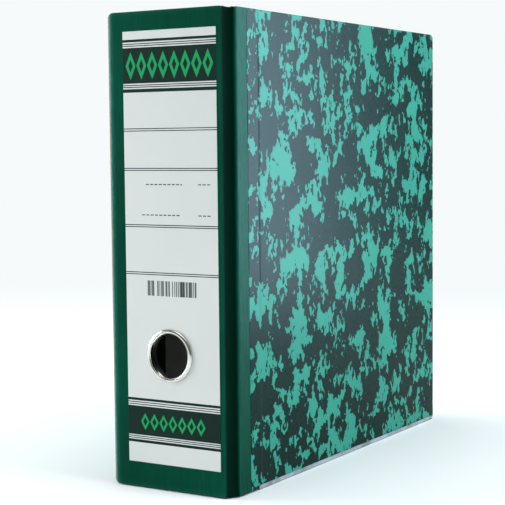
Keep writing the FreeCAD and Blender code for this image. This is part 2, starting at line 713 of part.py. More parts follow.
os.makedirs("parts", exist_ok=True)
for item in parts:
    item.Shape.exportStep(os.path.join("parts", item.Label + ".step"))
    bounds = item.Shape.BoundBox
    print(f"{item.Label:22s} {len(item.Shape.Solids)} solid(s) {item.Shape.Volume:10.1f} mm3"
          f"  x {bounds.XMin:.2f}..{bounds.XMax:.2f} y {bounds.YMin:.2f}..{bounds.YMax:.2f}"
          f" z {bounds.ZMin:.2f}..{bounds.ZMax:.2f}")
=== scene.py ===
import math
import bmesh
import bpy
import numpy as np
from mathutils import Matrix, Vector


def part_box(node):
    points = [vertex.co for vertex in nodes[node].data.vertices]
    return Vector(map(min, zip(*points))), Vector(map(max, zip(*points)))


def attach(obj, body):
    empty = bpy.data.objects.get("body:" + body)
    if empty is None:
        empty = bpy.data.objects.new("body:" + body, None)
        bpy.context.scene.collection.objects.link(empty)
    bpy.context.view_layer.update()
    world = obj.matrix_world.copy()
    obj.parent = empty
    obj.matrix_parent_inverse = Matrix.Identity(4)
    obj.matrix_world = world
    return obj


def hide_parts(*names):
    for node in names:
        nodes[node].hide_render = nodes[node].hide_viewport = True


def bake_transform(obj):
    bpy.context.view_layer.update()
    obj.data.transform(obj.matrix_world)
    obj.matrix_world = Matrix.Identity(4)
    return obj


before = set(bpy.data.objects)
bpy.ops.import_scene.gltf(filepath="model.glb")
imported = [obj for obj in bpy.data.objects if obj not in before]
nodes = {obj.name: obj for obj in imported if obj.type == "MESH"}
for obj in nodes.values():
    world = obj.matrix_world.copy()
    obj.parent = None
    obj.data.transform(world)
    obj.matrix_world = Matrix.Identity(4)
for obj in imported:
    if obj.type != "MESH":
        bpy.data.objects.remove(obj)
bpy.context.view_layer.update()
mm = 0.001  # Blender works in metres, the sizes below are in millimetres


def nodeBox(name):
    # lowest and highest corner of a CAD node, in millimetres
    low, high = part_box(name)
    return np.array(low) / mm, np.array(high) / mm


print("stage: frame loaded,", len(nodes), "nodes")


def colour(code):
    # sRGB hex to the linear values that the shader works in
    parts = np.array([int(code[i:i + 2], 16) for i in (1, 3, 5)]) / 255
    linear = np.where(parts <= 0.04045, parts / 12.92, ((parts + 0.055) / 1.055) ** 2.4)
    return (*linear.tolist(), 1.0)


def perMetre(*sizes):
    # pattern scale that gives lumps of so many millimetres
    return tuple(1 / (size * mm) for size in sizes)


def addNode(owner, kind, settings=None, inputs=None, output=0, stops=()):
    # One node with its settings, links and ramp stops; it gives back one of its output sockets.
    # An input is a number, a vector, a hex colour or another node's socket.
    node = owner.node_tree.nodes.new("ShaderNode" + kind)
    for name, value in (settings or {}).items():
        setattr(node, name, value)
    for name, value in (inputs or {}).items():
        if isinstance(value, bpy.types.NodeSocket):
            owner.node_tree.links.new(value, node.inputs[name])
        else:
            node.inputs[name].default_value = colour(value) if isinstance(value, str) else value
    for number, (position, code) in enumerate(stops):
        element = node.color_ramp.elements[number]
        element.position = position
        element.color = colour(code)
    return node.outputs[output] if len(node.outputs) else None


def newMaterial(name):
    material = bpy.data.materials.new(name)
    material.use_nodes = True
    material.node_tree.nodes.clear()
    return material


def closeMaterial(material, shaderInputs):
    shader = addNode(material, "BsdfPrincipled", None, shaderInputs)
    addNode(material, "OutputMaterial", None, {"Surface": shader})
    return material


# acrylic-coated bookcloth: fine upright ribs under a satin coat, paler where it is rubbed, with a painted
# highlight in the same pale colour along the back ridge and over the cover strip, and painted shade in the
# groove
def bookclothMaterial():
    # the pale colour is that of rubbed cloth and also paints the highlight; the hollow colour is the painted
    # shade of the groove
    cloth = {"deep": ("#03382A", "#05402F"), "tone": ("#04402F", "#074B39"), "rubbedAndSheen": "#4A9F92",
             "hollow": "#01140C", "ribWidth": 0.6, "threadHeight": 0.7, "patch": 50}
    material = newMaterial("coatedBookcloth")
    place = addNode(material, "TexCoord", output="Object")
    # ribs are drawn about twice as coarse as the thread, because the real ones are too fine to show
    upright = addNode(material, "Mapping", None,
                      {"Vector": place, "Scale": perMetre(cloth["ribWidth"], cloth["ribWidth"], 14)})
    ribs = addNode(material, "TexNoise", None,
                   {"Vector": upright, "Scale": 1.0, "Detail": 3.0, "Roughness": 0.6})
    level = addNode(material, "Mapping", None,
                    {"Vector": place, "Scale": perMetre(3, 3, cloth["threadHeight"])})
    threads = addNode(material, "TexNoise", None, {"Vector": level, "Scale": 1.0, "Detail": 1.0})
    patches = addNode(material, "TexNoise", None,
                      {"Vector": place, "Scale": 1 / (cloth["patch"] * mm), "Detail": 3.0})
    patch = addNode(material, "MapRange", None, {"Value": patches, "From Min": 0.35, "From Max": 0.65})
    tone = addNode(material, "ValToRGB", None, {"Fac": ribs},
                   stops=[(0.3, cloth["tone"][0]), (0.7, cloth["tone"][1])])
    deep = addNode(material, "ValToRGB", None, {"Fac": ribs},
                   stops=[(0.3, cloth["deep"][0]), (0.7, cloth["deep"][1])])
    base = addNode(material, "Mix", {"data_type": "RGBA"}, {0: patch, 6: deep, 7: tone}, output=2)
    # the wear attribute is 1 on an edge that gets rubbed, carries a painted highlight along the back ridge
    # and over the cover strip, and is below 0 in the groove, where it paints shade
    wear = addNode(material, "Attribute", {"attribute_name": "wear"}, output="Fac")
    flecked = addNode(material, "Mapping", None, {"Vector": place, "Scale": perMetre(1.2, 1.2, 6)})
    flecks = addNode(material, "TexNoise", None, {"Vector": flecked, "Scale": 1.0, "Detail": 3.0})
    # rubbed cloth and painted highlight: the pale colour wherever the attribute is above 0
    rubbedAndSheen = addNode(material, "Math", {"operation": "MULTIPLY", "use_clamp": True}, {0: wear, 1: flecks})
    base = addNode(material, "Mix", {"data_type": "RGBA"}, {0: rubbedAndSheen, 6: base, 7: cloth["rubbedAndSheen"]}, output=2)
    # painted shade: the groove's cloth goes towards the near-black hollow colour where the attribute is below
    # 0
    hollow = addNode(material, "Math", {"operation": "MULTIPLY", "use_clamp": True}, {0: wear, 1: -1.0})
    base = addNode(material, "Mix", {"data_type": "RGBA"}, {0: hollow, 6: base, 7: cloth["hollow"]}, output=2)
    rough = addNode(material, "Math", {"operation": "MULTIPLY_ADD"}, {0: ribs, 1: 0.14, 2: 0.3})
    rough = addNode(material, "Math", {"operation": "MULTIPLY_ADD"}, {0: hollow, 1: 0.6, 2: rough})
    normal = addNode(material, "Bump", None, {"Height": threads, "Distance": 0.03 * mm, "Strength": 0.3})
    normal = addNode(material, "Bump", None,
                     {"Height": ribs, "Distance": 0.04 * mm, "Strength": 0.5, "Normal": normal})
    return closeMaterial(material, {"Base Color": base, "Roughness": rough, "Specular IOR Level": 0.015,
                                    "Normal": normal})


# printed marbled paper under thin varnish: dark teal ground, ragged mint blots and specks, soft gloss
def marbledMaterial():
    marble = {"lobes": (20, 20, 17), "ragged": (5.6, 5.2, 7.0), "specks": (1.7, 1.6, 2.4), "raggedShare": 0.8,
              "specksShare": 0.4, "level": 1.148, "blur": 0.01, "ground": ("#08241F", "#10302A"),
              "mint": ("#349684", "#40A794"), "scuff": "#7C918C"}
    material = newMaterial("varnishedMarbledPaper")
    place = addNode(material, "TexCoord", output="Object")
    # the ink drifts a few millimetres, then large lobes, ragged small ones and specks are added up and cut
    # at a level
    drift = addNode(material, "TexNoise", None, {"Vector": place, "Scale": 1 / (7 * mm), "Detail": 1.0},
                    output="Color")
    drift = addNode(material, "VectorMath", {"operation": "SUBTRACT"}, {0: drift, 1: (0.5, 0.5, 0.5)})
    drifted = addNode(material, "VectorMath", {"operation": "MULTIPLY_ADD"},
                      {0: drift, 1: (5 * mm, 5 * mm, 8 * mm), 2: place})
    sized = addNode(material, "Mapping", None, {"Vector": drifted, "Scale": perMetre(*marble["lobes"])})
    total = addNode(material, "TexNoise", None,
                    {"Vector": sized, "Scale": 1.0, "Detail": 1.0, "Roughness": 0.5})
    sized = addNode(material, "Mapping", None, {"Vector": drifted, "Scale": perMetre(*marble["ragged"])})
    ragged = addNode(material, "TexNoise", None,
                     {"Vector": sized, "Scale": 1.0, "Detail": 1.0, "Roughness": 0.5})
    total = addNode(material, "Math", {"operation": "MULTIPLY_ADD"},
                    {0: ragged, 1: marble["raggedShare"], 2: total})
    sized = addNode(material, "Mapping", None, {"Vector": place, "Scale": perMetre(*marble["specks"])})
    specks = addNode(material, "TexNoise", None,
                     {"Vector": sized, "Scale": 1.0, "Detail": 1.0, "Roughness": 0.5})
    total = addNode(material, "Math", {"operation": "MULTIPLY_ADD"},
                    {0: specks, 1: marble["specksShare"], 2: total})
    inked = addNode(material, "MapRange", None, {"Value": total, "From Min": marble["level"],
                                                 "From Max": marble["level"] + marble["blur"]})
    shade = addNode(material, "TexNoise", None, {"Vector": place, "Scale": 1 / (50 * mm), "Detail": 2.0})
    mint = addNode(material, "Mix", {"data_type": "RGBA"},
                   {0: shade, 6: marble["mint"][0], 7: marble["mint"][1]}, output=2)
    cloudy = addNode(material, "Mapping", None, {"Vector": place, "Scale": perMetre(9, 9, 26)})
    clouds = addNode(material, "TexNoise", None, {"Vector": cloudy, "Scale": 1.0, "Detail": 4.0})
    ground = addNode(material, "Mix", {"data_type": "RGBA"},
                     {0: clouds, 6: marble["ground"][0], 7: marble["ground"][1]}, output=2)
    base = addNode(material, "Mix", {"data_type": "RGBA"}, {0: inked, 6: ground, 7: mint}, output=2)
    wear = addNode(material, "Attribute", {"attribute_name": "wear"}, output="Fac")
    chipped = addNode(material, "TexNoise", None, {"Vector": place, "Scale": 1 / (1.4 * mm), "Detail": 4.0})
    scuff = addNode(material, "Math", {"operation": "MULTIPLY", "use_clamp": True}, {0: wear, 1: chipped})
    base = addNode(material, "Mix", {"data_type": "RGBA"}, {0: scuff, 6: base, 7: marble["scuff"]}, output=2)
    pulp = addNode(material, "Mapping", None, {"Vector": place, "Scale": perMetre(0.8, 0.8, 2.2)})
    fibre = addNode(material, "TexNoise", None, {"Vector": pulp, "Scale": 1.0, "Detail": 3.0})
    rough = addNode(material, "Math", {"operation": "MULTIPLY_ADD"}, {0: fibre, 1: 0.14, 2: 0.22})
    normal = addNode(material, "Bump", None, {"Height": fibre, "Distance": 0.02 * mm, "Strength": 0.4})
    return closeMaterial(material, {"Base Color": base, "Roughness": rough, "Specular IOR Level": 0.03,
                                    "Normal": normal})


labelInk = {
    "paper": ("#C6CCCA", "#D0D1CE"), "dark": ("#0A1F1A", "#152C26"), "green": "#159457",
    # bands and rules as top and bottom, in millimetres down from the label's top
    "bands": [(4.1, 5.4), (8.2, 25.85), (28.6, 30.3), (184.0, 185.3), (188.1, 202.9), (205.35, 206.8)],
    "rules": [6.3, 7.3, 26.75, 27.7, 48.3, 49.4, 68.0, 69.0, 96.2, 97.2, 120.0, 121.0,
              186.15, 187.25, 203.65, 204.6],
    "ruleHeight": 0.45,
    # dashes as left, right and middle height; bars as left, right, top and bottom
    "dashes": [(13.0, 34.8, 76.0), (44.0, 52.0, 76.0), (10.4, 33.8, 91.2), (44.0, 52.0, 91.2)],
    "dashPitch": 2.6, "dashFill": 0.7, "dashHeight": 0.5,
    "bars": (11.9, 42.4, 124.0, 131.6), "barWidth": 0.45,
    # rows of lozenges as left, right, top, bottom, how many and the size of the hollow
    "lozenges": [(1.4, 54.0, 10.3, 24.0, 8, 0.46), (7.5, 46.9, 191.5, 200.2, 7, 0.5)],
}


# silvered label paper, printed in one dark ink and one green: bands, rules, dashes, plain bars and lozenges
def labelMaterial():
    material = newMaterial("printedSilverPaper")
    low, high = nodeBox("spine_label")
    place = addNode(material, "TexCoord", output="Object")
    x = addNode(material, "SeparateXYZ", None, {"Vector": place}, output="X")
    z = addNode(material, "SeparateXYZ", None, {"Vector": place}, output="Z")
    across = addNode(material, "Math", {"operation": "MULTIPLY_ADD"}, {0: x, 1: 1 / mm, 2: -low[0]})
    down = addNode(material, "Math", {"operation": "MULTIPLY_ADD"}, {0: z, 1: -1 / mm, 2: high[2]})

    def inkArea(left, right, top, bottom):
        # 1 inside a rectangle given in millimetres from the label's top left corner
        width, height = right - left, bottom - top
        inX = addNode(material, "Math", {"operation": "COMPARE"},
                      {0: across, 1: left + width / 2, 2: width / 2})
        inZ = addNode(material, "Math", {"operation": "COMPARE"},
                      {0: down, 1: top + height / 2, 2: height / 2})
        return addNode(material, "Math", {"operation": "MULTIPLY"}, {0: inX, 1: inZ})

    half, wide = labelInk["ruleHeight"] / 2, high[0] - low[0] + 2
    solids = labelInk["bands"] + [(middle - half, middle + half) for middle in labelInk["rules"]]
    printed = inkArea(-1, wide, *solids[0])
    for top, bottom in solids[1:]:
        printed = addNode(material, "Math", {"operation": "MAXIMUM"},
                          {0: printed, 1: inkArea(-1, wide, top, bottom)})
    beat = addNode(material, "Math", {"operation": "MULTIPLY"}, {0: across, 1: 1 / labelInk["dashPitch"]})
    beat = addNode(material, "Math", {"operation": "FRACT"}, {0: beat})
    beat = addNode(material, "Math", {"operation": "LESS_THAN"}, {0: beat, 1: labelInk["dashFill"]})
    for left, right, middle in labelInk["dashes"]:
        line = inkArea(left, right, middle - labelInk["dashHeight"] / 2, middle + labelInk["dashHeight"] / 2)
        dashes = addNode(material, "Math", {"operation": "MULTIPLY"}, {0: line, 1: beat})
        printed = addNode(material, "Math", {"operation": "MAXIMUM"}, {0: printed, 1: dashes})
    # bars of uneven darkness, one random value for each stripe, so nothing can be read from them
    stripe = addNode(material, "Math", {"operation": "MULTIPLY"}, {0: across, 1: 1 / labelInk["barWidth"]})
    stripe = addNode(material, "Math", {"operation": "FLOOR"}, {0: stripe})
    chance = addNode(material, "TexWhiteNoise", {"noise_dimensions": "1D"}, {"W": stripe})
    shown = addNode(material, "Math", {"operation": "GREATER_THAN"}, {0: chance, 1: 0.34})
    darkness = addNode(material, "Math", {"operation": "MULTIPLY_ADD"}, {0: chance, 1: 0.5, 2: 0.5})
    bars = addNode(material, "Math", {"operation": "MULTIPLY"}, {0: shown, 1: darkness})
    bars = addNode(material, "Math", {"operation": "MULTIPLY"}, {0: bars, 1: inkArea(*labelInk["bars"])})
    printed = addNode(material, "Math", {"operation": "MAXIMUM"}, {0: printed, 1: bars})

    green = None
    for left, right, top, bottom, count, hollow in labelInk["lozenges"]:
        # an outlined lozenge is where the distances from its middle, across and down, add up to between
        # two limits
        pitch, middle, half = (right - left) / count, (top + bottom) / 2, (bottom - top) / 2
        turn = addNode(material, "Math", {"operation": "MULTIPLY_ADD"},
                       {0: across, 1: 1 / pitch, 2: -left / pitch})
        turn = addNode(material, "Math", {"operation": "FRACT"}, {0: turn})
        sideways = addNode(material, "Math", {"operation": "MULTIPLY_ADD"}, {0: turn, 1: 2.15, 2: -1.075})
        sideways = addNode(material, "Math", {"operation": "ABSOLUTE"}, {0: sideways})
        upright = addNode(material, "Math", {"operation": "MULTIPLY_ADD"},
                          {0: down, 1: 1 / half, 2: -middle / half})
        upright = addNode(material, "Math", {"operation": "ABSOLUTE"}, {0: upright})
        both = addNode(material, "Math", {"operation": "ADD"}, {0: sideways, 1: upright})
        outline = addNode(material, "Math", {"operation": "COMPARE"},
                          {0: both, 1: (1 + hollow) / 2, 2: (1 - hollow) / 2})
        row = addNode(material, "Math", {"operation": "MULTIPLY"},
                      {0: outline, 1: inkArea(left, right, top - 1, bottom + 1)})
        green = row if green is None else addNode(material, "Math", {"operation": "MAXIMUM"},
                                                  {0: green, 1: row})

    sheen = addNode(material, "TexNoise", None, {"Vector": place, "Scale": 1 / (35 * mm), "Detail": 2.0})
    paper = addNode(material, "Mix", {"data_type": "RGBA"},
                    {0: sheen, 6: labelInk["paper"][0], 7: labelInk["paper"][1]}, output=2)
    fleck = addNode(material, "TexNoise", None, {"Vector": place, "Scale": 1 / (0.6 * mm), "Detail": 2.0})
    dark = addNode(material, "Mix", {"data_type": "RGBA"},
                   {0: fleck, 6: labelInk["dark"][0], 7: labelInk["dark"][1]}, output=2)
    base = addNode(material, "Mix", {"data_type": "RGBA"}, {0: printed, 6: paper, 7: dark}, output=2)
    base = addNode(material, "Mix", {"data_type": "RGBA"}, {0: green, 6: base, 7: labelInk["green"]},
                   output=2)
    inked = addNode(material, "Math", {"operation": "MAXIMUM"}, {0: printed, 1: green})
    metallic = addNode(material, "Math", {"operation": "MULTIPLY_ADD"}, {0: inked, 1: -0.25, 2: 0.25})
    rough = addNode(material, "Math", {"operation": "MULTIPLY_ADD"}, {0: fleck, 1: 0.12, 2: 0.34})
    normal = addNode(material, "Bump", None, {"Height": fleck, "Distance": 0.01 * mm, "Strength": 0.3})
    return closeMaterial(material, {"Base Color": base, "Metallic": metallic, "Roughness": rough,
                                    "Specular IOR Level": 0.08, "Normal": normal})


# grey pulp board: matt, with light and dark fibres
def greyboardMaterial():
    material = newMaterial("greyPulpBoard")
    place = addNode(material, "TexCoord", output="Object")
    fibre = addNode(material, "TexNoise", None,
                    {"Vector": place, "Scale": 1 / (0.6 * mm), "Detail": 5.0, "Roughness": 0.7})
    base = addNode(material, "ValToRGB", None, {"Fac": fibre}, stops=[(0.3, "#6E6A62"), (0.7, "#A39E93")])
    normal = addNode(material, "Bump", None, {"Height": fibre, "Distance": 0.05 * mm})
    return closeMaterial(material, {"Base Color": base, "Roughness": 0.9, "Normal": normal})


# black hinge cloth: starched cotton in a plain weave, nearly without shine
def hingeClothMaterial():
    material = newMaterial("blackHingeCloth")
    place = addNode(material, "TexCoord", output="Object")
    thread = 0.5  # thread spacing in millimetres, drawn wide enough to show
    waves = [addNode(material, "TexWave", {"wave_type": "BANDS", "bands_direction": direction},
                     {"Vector": place, "Scale": 0.314 / (thread * mm), "Distortion": 0.6, "Detail": 1.0},
                     output="Fac")
             for direction in ("Y", "Z")]
    weave = addNode(material, "Math", {"operation": "MULTIPLY"}, {0: waves[0], 1: waves[1]})
    base = addNode(material, "ValToRGB", None, {"Fac": weave}, stops=[(0.0, "#020202"), (1.0, "#0E0F0F")])
    normal = addNode(material, "Bump", None, {"Height": weave, "Distance": 0.06 * mm, "Strength": 0.7})
    return closeMaterial(material, {"Base Color": base, "Roughness": 0.85, "Specular IOR Level": 0.05,
                                    "Normal": normal})


# grey lining paper: uncoated, mottled, with pale flecks of fibre
def liningMaterial():
    material = newMaterial("greyLiningPaper")
    place = addNode(material, "TexCoord", output="Object")
    cloud = addNode(material, "TexNoise", None,
                    {"Vector": place, "Scale": 1 / (24 * mm), "Detail": 5.0, "Roughness": 0.6})
    fleck = addNode(material, "TexNoise", None, {"Vector": place, "Scale": 1 / (0.8 * mm), "Detail": 2.0})
    base = addNode(material, "ValToRGB", None, {"Fac": cloud}, stops=[(0.3, "#6C6E69"), (0.7, "#7C7E78")])
    pale = addNode(material, "MapRange", None,
                   {"Value": fleck, "From Min": 0.6, "From Max": 0.75, "To Max": 0.4})
    base = addNode(material, "Mix", {"data_type": "RGBA"}, {0: pale, 6: base, 7: "#9EA099"}, output=2)
    normal = addNode(material, "Bump", None, {"Height": fleck, "Distance": 0.03 * mm, "Strength": 0.5})
    return closeMaterial(material, {"Base Color": base, "Roughness": 0.7, "Specular IOR Level": 0.12,
                                    "Normal": normal})


# plated steel: bright and even, with hairlines along the sheet and duller patches from handling
def metalMaterial(name, pale, dark, rough, hairline, along="Z"):
    material = newMaterial(name)
    place = addNode(material, "TexCoord", output="Object")
    grain = [16 if axis == along else hairline for axis in "XYZ"]
    brushed = addNode(material, "Mapping", None, {"Vector": place, "Scale": perMetre(*grain)})
    lines = addNode(material, "TexNoise", None,
                    {"Vector": brushed, "Scale": 1.0, "Detail": 3.0, "Roughness": 0.6})
    haze = addNode(material, "TexNoise", None, {"Vector": place, "Scale": 1 / (7 * mm), "Detail": 4.0})
    base = addNode(material, "ValToRGB", None, {"Fac": haze}, stops=[(0.35, dark), (0.6, pale)])
    gloss = addNode(material, "Math", {"operation": "MULTIPLY_ADD"}, {0: haze, 1: 0.08, 2: rough})
    gloss = addNode(material, "Math", {"operation": "MULTIPLY_ADD"}, {0: lines, 1: 0.08, 2: gloss})
    normal = addNode(material, "Bump", None, {"Height": lines, "Distance": 0.01 * mm, "Strength": 0.25})
    return closeMaterial(material, {"Base Color": base, "Metallic": 1.0, "Roughness": gloss,
                                    "Normal": normal})


# moulded black plastic: fine spark-eroded texture, satin
def gripMaterial():
    material = newMaterial("mouldedBlackPlastic")
    place = addNode(material, "TexCoord", output="Object")
    spark = addNode(material, "TexNoise", None, {"Vector": place, "Scale": 1 / (0.35 * mm), "Detail": 3.0})
    base = addNode(material, "ValToRGB", None, {"Fac": spark}, stops=[(0.3, "#0C0C0D"), (0.7, "#18181A")])
    rough = addNode(material, "Math", {"operation": "MULTIPLY_ADD"}, {0: spark, 1: 0.2, 2: 0.32})
    normal = addNode(material, "Bump", None, {"Height": spark, "Distance": 0.02 * mm, "Strength": 0.6})
    return closeMaterial(material, {"Base Color": base, "Roughness": rough, "Normal": normal})


bookcloth = bookclothMaterial()
marbled = marbledMaterial()
labelPaper = labelMaterial()
greyboard = greyboardMaterial()
hingeCloth = hingeClothMaterial()
lining = liningMaterial()
nickel = metalMaterial("brightNickelPlate", "#D2CFC6", "#B9B5AA", 0.13, 0.25)
ringNickel = metalMaterial("polishedNickelRing", "#DAD9D4", "#C6C4BC", 0.07, 0.3)
railSteel = metalMaterial("zincPlatedStrip", "#8F9392", "#6C706F", 0.3, 0.2, along="Y")
springSteel = metalMaterial("blueGreySpringSteel", "#8B9096", "#6B7076", 0.22, 0.2)
# the throat's near-black metal is painted shade: it stands for the dark inside of the file that the tube
# reflects
throatSteelPaintedDark = metalMaterial("dullUnplatedThroatPaintedDark", "#44474A", "#2B2D2F", 0.4, 0.3)
blackPlastic = gripMaterial()
print("stage: materials made")


def gridQuads(rows, columns, closedRows=False, closedColumns=False):
    # the four corner numbers of every quad on a grid of rows by columns points
    row, column = np.meshgrid(np.arange(rows if closedRows else rows - 1),
                              np.arange(columns if closedColumns else columns - 1), indexing="ij")
    nextRow, nextColumn = (row + 1) % rows, (column + 1) % columns
    corners = [row * columns + column, nextRow * columns + column,
               nextRow * columns + nextColumn, row * columns + nextColumn]
    return np.stack([corner.ravel() for corner in corners], axis=1)


def makePiece(name, points, quads, materials, faceMaterial=None, wear=None, sharpAbove=40):
    # points in millimetres go into one mesh; doubles are merged at seams and the shell is turned outwards
    mesh = bpy.data.meshes.new(name)
    mesh.vertices.add(len(points))
    mesh.vertices.foreach_set("co", (points * mm).astype(np.float32).ravel())
    mesh.loops.add(quads.size)
    mesh.loops.foreach_set("vertex_index", quads.astype(np.int32).ravel())
    mesh.polygons.add(len(quads))
    mesh.polygons.foreach_set("loop_start", np.arange(0, quads.size, 4, dtype=np.int32))
    for material in materials:
        mesh.materials.append(material)
    if faceMaterial is not None:
        mesh.polygons.foreach_set("material_index", faceMaterial.astype(np.int32))
    attribute = mesh.attributes.new("wear", "FLOAT", "POINT")
    attribute.data.foreach_set("value", (np.zeros(len(points)) if wear is None else wear).astype(np.float32))
    mesh.update(calc_edges=True)
    work = bmesh.new()
    work.from_mesh(mesh)
    bmesh.ops.remove_doubles(work, verts=work.verts, dist=1e-6)
    bmesh.ops.dissolve_degenerate(work, edges=work.edges, dist=1e-7)
    bmesh.ops.recalc_face_normals(work, faces=work.faces)
    work.to_mesh(mesh)
    work.free()
    mesh.shade_smooth()
    mesh.set_sharp_from_angle(angle=math.radians(sharpAbove))
    piece = bpy.data.objects.new(name, mesh)
    bpy.context.scene.collection.objects.link(piece)
    return piece


def ease(value):
    # smooth step from 0 to 1
    value = np.clip(value, 0, 1)
    return value * value * (3 - 2 * value)


def straight(first, last, count):
    share = np.linspace(0, 1, count)[:, None]
    return np.array(first, float) * (1 - share) + np.array(last, float) * share


def arc(centre, radius, first, last, count):
    # points on a circle between two angles in degrees
    angle = np.radians(np.linspace(first, last, count))
    return np.array(centre) + radius * np.stack([np.cos(angle), np.sin(angle)], axis=1)


def bezier(a, b, c, d, count):
    # the cubic curve through a and d that leaves towards b and arrives from c
    t = np.linspace(0, 1, count)[:, None]
    a, b, c, d = (np.array(point, float) for point in (a, b, c, d))
    return (1 - t) ** 3 * a + 3 * t * (1 - t) ** 2 * b + 3 * t * t * (1 - t) * c + t ** 3 * d


def foldedStrip(name, outer, inner, low, high, edge, rows, materials, order=(0, 1, 2), innerMaterial=None,
                ripple=None, wearAndPaintedLightOf=None):
    # A closed strip. Its section is the loop of the outer path and the inner path back again. The section is
    # carried from low to high, and near both ends it shrinks along a quarter circle of radius edge, then
    # closes.
    count = len(outer)
    low, high = np.broadcast_to(low, count), np.broadcast_to(high, count)
    steps = 6
    shut = [99]  # more than any half thickness, so that the section closes
    turn = np.radians(np.linspace(0, 90, steps))
    inward, upward = edge * (1 - np.sin(turn)), edge * (1 - np.cos(turn))
    inset = np.concatenate([shut, inward, np.zeros(rows), inward[::-1], shut])
    rise = np.concatenate([[0], upward, np.zeros(rows), -upward[::-1], [0]])
    share = np.concatenate([np.zeros(steps + 1), np.linspace(0, 1, rows + 2)[1:-1], np.ones(steps + 1)])
    across = inner - outer
    thick = np.linalg.norm(across, axis=1, keepdims=True)
    move = np.minimum(inset[:, None, None], thick / 2) * (across / thick)
    flat = np.concatenate([outer + move, (inner - move)[:, ::-1]], axis=1)
    height = low * (1 - share[:, None]) + high * share[:, None] + rise[:, None]
    height = np.concatenate([height, height[:, ::-1]], axis=1)
    if ripple is not None:
        flat = flat + ripple(flat, height, np.arange(2 * count) < count)
    points = np.empty((*height.shape, 3))
    points[..., order[0]], points[..., order[1]], points[..., order[2]] = flat[..., 0], flat[..., 1], height
    quads = gridQuads(len(share), 2 * count, closedColumns=True)
    faceMaterial = None
    if innerMaterial is not None:
        column = quads[:, 0] % (2 * count)
        opposite = 2 * count - 1 - column  # the outer point that an inner one lies behind
        first, last = innerMaterial
        faceMaterial = (column >= count) & (opposite > first) & (opposite <= last)
    wear = None if wearAndPaintedLightOf is None else wearAndPaintedLightOf(points).ravel()
    return makePiece(name, points.reshape(-1, 3), quads, materials, faceMaterial, wear)


clothHalf = {
    "seam": 25.0,        # where the two halves meet under the label, from the middle of the spine
    "ridgeFront": 0.8,   # radius of the ridge next to the front cover
    "ridgeBack": 2.4,    # and next to the back cover, which is softer
    "coverRidge": 1.8,   # how far the soft ridge reaches onto the cover
    "grooveSkin": 0.6,   # cloth and turned-in cloth in the groove
    "cornerFront": 1.3,  # rounding of the spine's corners in front view
    "cornerBack": 3.6,
    "underPaper": 9.0,   # cloth under the edge of the marbled paper
    "edge": 0.7,
    "rows": 150,
    # the hollow of the groove turns into the cover's ridge this far out from the spine's side and this far
    # before the cover's near edge
    "hollowOut": 2.2,
    "hollowBefore": 0.8,
    "grooveDip": 0.45,   # how far the groove's head lies below the boards at most
    "creaseHeight": 0.16,
    "creaseReach": 7.0,  # the creases fade over this height
    "waveHeight": 0.035,
    "footFill": 0.8,     # share of the groove that is filled up at the foot
    "hole": 11.7,        # radius of the hole for the finger ring's tube
}


